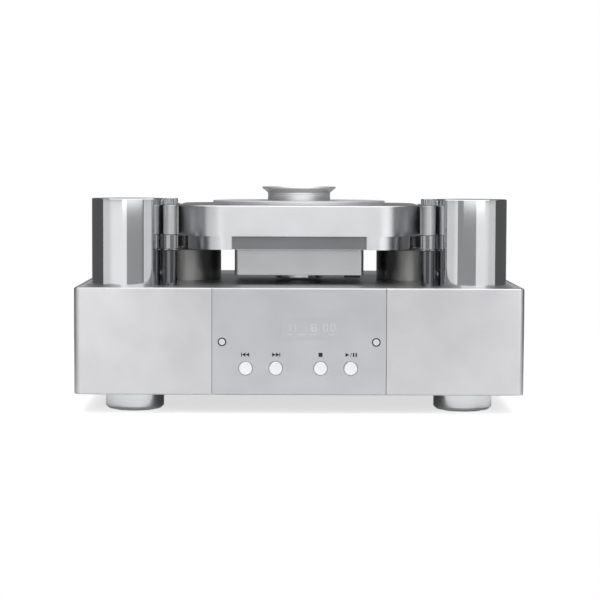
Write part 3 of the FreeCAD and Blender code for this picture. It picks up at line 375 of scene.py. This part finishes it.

# Dark strip standing in the front recess of the plate under the slab: painted shade for the recess under the slab's
# overhang
shadeStrip = dict(wide=142.0, tall=13.3, thick=1.0, bevel=0.3, behind=8.0)
plateLow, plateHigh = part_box("drive_plate")
stripBack = plateLow.y + shadeStrip["behind"] * mm
stripMiddle = (plateLow.z + plateHigh.z) / 2
halfWide, halfTall = shadeStrip["wide"] * mm / 2, shadeStrip["tall"] * mm / 2
meshPiece("recess_shade_strip",
          bevelledBox((-halfWide, stripBack - shadeStrip["thick"] * mm, stripMiddle - halfTall),
                      (halfWide, stripBack, stripMiddle + halfTall), shadeStrip["bevel"] * mm),
          # the dark anodised tone here is painted shade, not a separate part of the object
          "darkAnodised", "drive_unit")

# Black rings round the heads of the two panel screws, painted shade for the shadowed wall of each counterbore: a seat
# in the pocket and a lip over the head's edge
screwShadeRing = dict(x=79.2, z=75.4, inner=3.2, seat=3.85, outer=4.45, lip=0.12, step=0.28, deep=1.2, edge=0.15)
inner, outer, lip, deep, edge = (screwShadeRing[key] for key in ("inner", "outer", "lip", "deep", "edge"))
ring = [(inner, screwShadeRing["step"]), (inner, lip + edge), (inner + edge, lip), (outer - edge, lip),
        (outer, lip + edge), (outer, deep), (screwShadeRing["seat"], deep), (screwShadeRing["seat"], screwShadeRing["step"])]
for side, sideName in ((-1, "left"), (1, "right")):
    place = (side * screwShadeRing["x"] * mm, frontY, screwShadeRing["z"] * mm)
    smoothed(meshPiece("screw_shade_ring_" + sideName, turnedMesh(ring, place), "counterboreShadeBlack", "chassis"))
print("front fittings made")

# Rear: insulators in the coaxial sockets
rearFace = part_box("rear_panel")[1].y
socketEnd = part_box("coax_sockets")[1].y
coax = dict(x=(60.0, 95.0), z=75.0, inner=1.75, outer=3.3, proud=0.15, sink=0.05, chamfer=0.2, shoulder=0.7)
inner, outer, proud, shoulder = coax["inner"], coax["outer"], coax["proud"], coax["proud"] * coax["shoulder"]
ring = [(inner, -coax["sink"]), (inner, shoulder), (inner + coax["chamfer"], proud),
        (outer - coax["chamfer"], proud), (outer, shoulder), (outer, -coax["sink"])]
for number, x in enumerate(coax["x"]):
    place = (x * mm, socketEnd, coax["z"] * mm)
    smoothed(meshPiece("coax_insulator_%d" % (number + 1), turnedMesh(ring, place), "whitePtfe", "chassis"))

# Plated blades in the mains inlet, the earth blade highest
inlet = dict(x=-150.0, bladeZ=64.0, blades=((-7.0, -2.0), (0.0, 3.0), (7.0, -2.0)), halfWide=1.08, halfTall=2.08,
             deep=12.5, behind=2.94, bevel=0.35)
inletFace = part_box("mains_inlet")[1].y
for number, (shiftX, shiftZ) in enumerate(inlet["blades"]):
    x, z = (inlet["x"] + shiftX) * mm, (inlet["bladeZ"] + shiftZ) * mm
    bladeEnd = inletFace - inlet["behind"] * mm
    halfWide, halfTall = inlet["halfWide"] * mm, inlet["halfTall"] * mm
    meshPiece("inlet_blade_%d" % (number + 1),
              bevelledBox((x - halfWide, bladeEnd - inlet["deep"] * mm, z - halfTall),
                          (x + halfWide, bladeEnd, z + halfTall), inlet["bevel"] * mm),
              "nickelPlate", "chassis")

# Pan-head screws of the rear panel; the dome is given in shares of the radius and height
panHead = dict(radius=2.9, tall=1.7, slot=0.9, slotDeep=0.9, slotReach=0.62, steps=48,
               dome=((1.0, 0.0), (1.0, 0.45), (0.93, 0.72), (0.80, 0.90), (0.66, 1.0)),
               places=((-208, 38), (-208, 108), (0, 38), (0, 108), (208, 38), (208, 108)))


def panHeadMesh(x, z):  # with a cross recess, standing on the rear panel
    radius, tall, steps = panHead["radius"], panHead["tall"], panHead["steps"]
    half, arm = panHead["slot"] / 2, radius * panHead["slotReach"]
    cross = [(half, half), (half, arm), (-half, arm), (-half, half), (-arm, half), (-arm, -half), (-half, -half),
             (-half, -arm), (half, -arm), (half, -half), (arm, -half), (arm, half)]
    mesh = bmesh.new()

    def corner(across, up, out):  # millimetres from the screw's middle to world
        return mesh.verts.new((x * mm + across * mm, rearFace + out * mm, z * mm + up * mm))

    turns = [2 * math.pi * step / steps for step in range(steps)]
    loops = [[corner(radius * share * math.cos(turn), radius * share * math.sin(turn), tall * height)
              for turn in turns] for share, height in panHead["dome"]]
    for low, high in zip(loops, loops[1:]):
        for step in range(steps):
            following = (step + 1) % steps
            mesh.faces.new((low[step], low[following], high[following], high[step]))
    rim = [corner(across, up, tall) for across, up in cross]
    foot = [corner(across, up, tall - panHead["slotDeep"]) for across, up in cross]
    edges = [mesh.edges.new((vert, rim[(place + 1) % len(rim)])) for place, vert in enumerate(rim)]
    outline = [edge for edge in mesh.edges if all(vert in loops[-1] for vert in edge.verts)]
    bmesh.ops.triangle_fill(mesh, use_beauty=True, edges=edges + outline)
    for place in range(len(rim)):
        following = (place + 1) % len(rim)
        mesh.faces.new((rim[place], rim[following], foot[following], foot[place]))
    mesh.faces.new(foot)
    mesh.faces.new(loops[0])
    bmesh.ops.recalc_face_normals(mesh, faces=mesh.faces)
    return mesh


for number, (x, z) in enumerate(panHead["places"]):
    smoothed(meshPiece("rear_screw_%d" % (number + 1), panHeadMesh(x, z), "machinedSteel", "chassis"))

# Rocker: a printed bar and ring on its two sloping faces, turned with it to its rest place
rocker = dict(x=-150.0, z=87.5, pinBehind=3.0, tilt=8.0, slope=10.125, saddle=0.2, markAt=2.85, barWide=0.7,
              barTall=3.2, ringOuter=1.6, ringInner=1.05, ringSteps=40, lift=0.05, sink=0.15)


def rockerSpot(side, across, along, out):  # a place on one sloping face: millimetres to world
    slope, tilt = math.radians(rocker["slope"]), math.radians(rocker["tilt"])
    up, forward = along * math.cos(slope) - out * math.sin(slope), along * math.sin(slope) + out * math.cos(slope)
    y, z = rocker["pinBehind"] + rocker["saddle"] + forward, side * up
    y, z = y * math.cos(tilt) - z * math.sin(tilt), y * math.sin(tilt) + z * math.cos(tilt)
    return ((rocker["x"] + across) * mm, inletFace + (y - rocker["pinBehind"]) * mm, (rocker["z"] + z) * mm)


def printLoops(mesh, side, loops):  # a thin print between an outer and, if given, an inner outline
    tops = [[mesh.verts.new(rockerSpot(side, across, along, rocker["lift"])) for across, along in loop]
            for loop in loops]
    lows = [[mesh.verts.new(rockerSpot(side, across, along, -rocker["sink"])) for across, along in loop]
            for loop in loops]
    count = len(loops[0])
    for step in range(count):
        following = (step + 1) % count
        for top, low in zip(tops, lows):
            mesh.faces.new((top[step], top[following], low[following], low[step]))
        if len(loops) == 2:
            for outer, inner in (tops, lows):
                mesh.faces.new((outer[step], outer[following], inner[following], inner[step]))
    if len(loops) == 1:
        mesh.faces.new(tops[0])
        mesh.faces.new(lows[0])
    bmesh.ops.recalc_face_normals(mesh, faces=mesh.faces)


mesh = bmesh.new()
halfWide, halfTall = rocker["barWide"] / 2, rocker["barTall"] / 2
printLoops(mesh, 1, [rectangle(-halfWide, halfWide, rocker["markAt"] - halfTall, rocker["markAt"] + halfTall)])
turns = [2 * math.pi * step / rocker["ringSteps"] for step in range(rocker["ringSteps"])]
printLoops(mesh, -1, [[(radius * math.cos(turn), rocker["markAt"] + radius * math.sin(turn)) for turn in turns]
                      for radius in (rocker["ringOuter"], rocker["ringInner"])])
meshPiece("rocker_marks", mesh, "whitePrint", "rocker")
print("rear fittings made")

# Under the lid: the rubber ring on the hub that the disc lies on
hubPad = dict(height=3.8, inner=9.0, outer=16.0, proud=0.03, sink=0.2, segments=96)
hubLow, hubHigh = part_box("disc_hub")
axisY = (hubLow.y + hubHigh.y) / 2
ring = [(hubPad["inner"], -hubPad["sink"]), (hubPad["inner"], hubPad["proud"]),
        (hubPad["outer"], hubPad["proud"]), (hubPad["outer"], -hubPad["sink"])]
place = (0, axisY, hubLow.z + hubPad["height"] * mm)
smoothed(meshPiece("hub_pad", turnedMesh(ring, place, "Z", hubPad["segments"]), "mouldedRubber", "spindle"))

# On the sled: the holder round the lens, and a magnet on either side of it
lensHolder = dict(inner=3.25, outer=4.8, tall=1.2, shoulder=0.9, chamfer=(0.35, 0.4), sink=0.3)
lensMagnet = dict(away=7.0, halfWide=1.4, halfLong=4.0, tall=1.1, sink=0.3, bevel=0.25)
lensLow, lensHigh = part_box("pickup_lens")
lensX, lensY = (lensLow.x + lensHigh.x) / 2, (lensLow.y + lensHigh.y) / 2
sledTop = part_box("sled_carriage")[1].z
inner, outer, tall, shoulder = (lensHolder[key] for key in ("inner", "outer", "tall", "shoulder"))
ring = [(inner, -lensHolder["sink"]), (inner, shoulder), (inner + lensHolder["chamfer"][0], tall),
        (outer - lensHolder["chamfer"][1], tall), (outer, shoulder), (outer, -lensHolder["sink"])]
smoothed(meshPiece("lens_holder", turnedMesh(ring, (lensX, lensY, sledTop), "Z"), "whitePtfe", "sled"))
for side, sideName in ((-1, "left"), (1, "right")):
    x = lensX + side * lensMagnet["away"] * mm
    halfWide, halfLong = lensMagnet["halfWide"] * mm, lensMagnet["halfLong"] * mm
    meshPiece("lens_magnet_" + sideName,
              bevelledBox((x - halfWide, lensY - halfLong, sledTop - lensMagnet["sink"] * mm),
                          (x + halfWide, lensY + halfLong, sledTop + lensMagnet["tall"] * mm),
                          lensMagnet["bevel"] * mm),
              "machinedSteel", "sled")
print("pickup detail made")

# Rings that hold the ends of the springs, below on the pots and above on the slab
springSeat = dict(inner=4.4, outer=6.2, tall=1.6, edge=0.3)
inner, outer, tall, edge = (springSeat[key] for key in ("inner", "outer", "tall", "edge"))
seatRing = [(inner, 0.0), (inner, tall - edge), (inner + edge, tall), (outer - edge, tall), (outer, tall - edge),
            (outer, 0.0)]
hangingRing = [(radius, -height) for radius, height in seatRing]
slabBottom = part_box("drive_slab")[0].z
for side in ("left", "right"):
    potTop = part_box("damper_pot_" + side)[1].z
    springLow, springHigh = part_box("spring_" + side)
    centre = [(low + high) / 2 for low, high in zip(springLow[:2], springHigh[:2])]
    smoothed(meshPiece("spring_seat_low_" + side, turnedMesh(seatRing, (*centre, potTop), "Z"), "machinedSteel",
                       "chassis"))
    smoothed(meshPiece("spring_seat_high_" + side, turnedMesh(hangingRing, (*centre, slabBottom), "Z"),
                       "machinedSteel", "drive_unit"))
print("springs seated")

# Button-head screws that hold the round base of the disc well; the dome in shares of the radius and height
baseScrew = dict(radius=2.7, tall=1.4, socket=1.2, deep=0.8, sink=0.2, middle=0.001, segments=32, smoothTo=50,
                 dome=((0.66, 0.93), (0.87, 0.66)), reach=67.0, count=6)
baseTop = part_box("mechanism_base")[1].z
radius, tall, socket, sink = (baseScrew[key] for key in ("radius", "tall", "socket", "sink"))
socketFloor = tall - baseScrew["deep"]
dome = [(baseScrew["middle"], socketFloor), (socket, socketFloor), (socket, tall),
        *[(radius * share, tall * height) for share, height in baseScrew["dome"]],
        (radius, sink), (radius, -sink), (baseScrew["middle"], -sink)]
for number in range(baseScrew["count"]):
    angle = 2 * math.pi * number / baseScrew["count"]
    place = (baseScrew["reach"] * mm * math.cos(angle), axisY + baseScrew["reach"] * mm * math.sin(angle), baseTop)
    smoothed(meshPiece("base_screw_%d" % (number + 1), turnedMesh(dome, place, "Z", baseScrew["segments"]),
                       "machinedSteel", "drive_unit"), baseScrew["smoothTo"])
print("base screws made:", baseScrew["count"])

# Floor: a white paper table under the object; past its soft edge the camera sees plain white
floorLook = dict(hex="#f4f4f4", dark="#808080", rough=0.9, halfWide=0.40, halfDeep=0.50, fadeFrom=0.9, fadeTo=1.5,
                 reach=1.55, glow=0.68, shine=0.05)


def floorMaterial():
    material, tree, shader, coords = startMaterial("whitePaper")
    shader.inputs["Roughness"].default_value = floorLook["rough"]
    shader.inputs["Emission Color"].default_value = (1, 1, 1, 1)
    path = addNode(tree, "ShaderNodeLightPath")
    share = addNode(tree, "ShaderNodeVectorMath", {"operation": "MULTIPLY",
                    1: (1 / floorLook["halfWide"], 1 / floorLook["halfDeep"], 0)}, {0: coords})
    reach = addNode(tree, "ShaderNodeVectorMath", {"operation": "LENGTH"}, {0: share.outputs[0]})
    near = addNode(tree, "ShaderNodeMapRange",
                   {"From Min": floorLook["fadeTo"], "From Max": floorLook["fadeFrom"],
                    "interpolation_type": "SMOOTHSTEP"}, {"Value": reach.outputs["Value"]}).outputs["Result"]
    paper = addNode(tree, "ShaderNodeMix", {"data_type": "RGBA", 6: fromHex(floorLook["dark"]),
                                            7: fromHex(floorLook["hex"])}, {0: near})
    tree.links.new(paper.outputs[2], shader.inputs["Base Color"])
    white = addNode(tree, "ShaderNodeMapRange", {"To Min": 1.0, "To Max": floorLook["glow"]}, {"Value": near})
    seen = addNode(tree, "ShaderNodeMath", {"operation": "MULTIPLY"},
                   {0: white.outputs[0], 1: path.outputs["Is Camera Ray"]})
    shine = addNode(tree, "ShaderNodeMath", {"operation": "MULTIPLY", 1: floorLook["shine"]}, {0: near})
    shown = addNode(tree, "ShaderNodeMath", {"operation": "MULTIPLY"},
                    {0: shine.outputs[0], 1: path.outputs["Is Glossy Ray"]})
    both = addNode(tree, "ShaderNodeMath", {"operation": "ADD"}, {0: seen.outputs[0], 1: shown.outputs[0]})
    tree.links.new(both.outputs[0], shader.inputs["Emission Strength"])
    return material


wide, deep = floorLook["reach"] * floorLook["halfWide"], floorLook["reach"] * floorLook["halfDeep"]
floorData = bpy.data.meshes.new("floor")
floorData.from_pydata([(-wide, -deep, 0), (wide, -deep, 0), (wide, deep, 0), (-wide, deep, 0)], [], [(0, 1, 2, 3)])
floorData.materials.append(floorMaterial())
floor = bpy.data.objects.new("floor", floorData)
bpy.context.scene.collection.objects.link(floor)
print("floor laid")

# Light: two low soft boxes off the front corners, one overhead, and a broad one high in front
softBoxes = {
    "leftBox": dict(place=(-0.465, -0.368, 0.138), aim=(-0.045, 0.540, 0.138), size=(0.63, 0.155), glow=0.68),
    "rightBox": dict(place=(0.50, -0.34, 0.138), aim=(0.114, 0.583, 0.138), size=(0.54, 0.155), glow=0.66),
    "topBox": dict(place=(0.0, 0.0, 1.30), aim=(0.0, 0.0, 0.0), size=(1.6, 1.3), glow=1.05),
    "frontTopBox": dict(place=(0.20, -1.00, 0.84), aim=(0.0, -0.1, 0.18), size=(1.8, 1.6), glow=1.02),
}
for lightName, box in softBoxes.items():
    lamp = bpy.data.lights.new(lightName, "AREA")
    lamp.shape = "RECTANGLE"
    lamp.size, lamp.size_y = box["size"]
    lamp.energy = box["glow"] * math.pi * box["size"][0] * box["size"][1]  # watts for that brightness
    light = bpy.data.objects.new(lightName, lamp)
    light.location = box["place"]
    light.rotation_euler = (Vector(box["aim"]) - Vector(box["place"])).to_track_quat("-Z", "Y").to_euler()
    light.visible_camera = False
    bpy.context.scene.collection.objects.link(light)
print("soft boxes hung:", len(softBoxes))

# Studio: palest overhead, grey behind the camera, darker behind the object and darkest at the sides; the camera
# itself sees white. Each wall has its axis, where it fades in, where it is full, and how bright it is
studio = dict(side=0.11, walls=(("Y", 0.86, 0.93, 0.22), ("Y", -0.35, -0.75, 0.36), ("Z", 0.55, 0.80, 0.55)))
world = bpy.data.worlds.new("studio")
bpy.context.scene.world = world
world.use_nodes = True
tree = world.node_tree
tree.nodes.clear()
path = addNode(tree, "ShaderNodeLightPath")
way = addNode(tree, "ShaderNodeTexCoord")
split = addNode(tree, "ShaderNodeSeparateXYZ", links={0: way.outputs["Generated"]})
total = addNode(tree, "ShaderNodeMath", {"operation": "MAXIMUM", 1: studio["side"]},
                {0: path.outputs["Is Camera Ray"]})
for axis, start, end, level in studio["walls"]:
    wall = addNode(tree, "ShaderNodeMapRange", {"From Min": start, "From Max": end, "To Max": level,
                                                "interpolation_type": "SMOOTHSTEP"}, {"Value": split.outputs[axis]})
    total = addNode(tree, "ShaderNodeMath", {"operation": "MAXIMUM"},
                    {0: total.outputs[0], 1: wall.outputs["Result"]})
room = addNode(tree, "ShaderNodeBackground", {"Color": (1, 1, 1, 1)}, {"Strength": total.outputs[0]})
addNode(tree, "ShaderNodeOutputWorld", links={"Surface": room.outputs[0]})
print("studio lit")

# Camera, a little higher than the puck and looking slightly down
view = dict(place=(-0.0088, -2.3457, 0.2538), tilt=3.59, roll=-0.216, turn=-0.239, lens=126.2, sensor=36.0,
            clipEnd=50.0)
cameraData = bpy.data.cameras.new("camera")
cameraData.lens = view["lens"]
cameraData.sensor_width = view["sensor"]
cameraData.clip_end = view["clipEnd"]
camera = bpy.data.objects.new("camera", cameraData)
camera.location = view["place"]
camera.rotation_mode = "XYZ"
camera.rotation_euler = (math.radians(90 - view["tilt"]), math.radians(view["roll"]), math.radians(view["turn"]))
bpy.context.scene.collection.objects.link(camera)
bpy.context.scene.camera = camera
bpy.context.scene.view_settings.view_transform = "Standard"


print("scene ready")
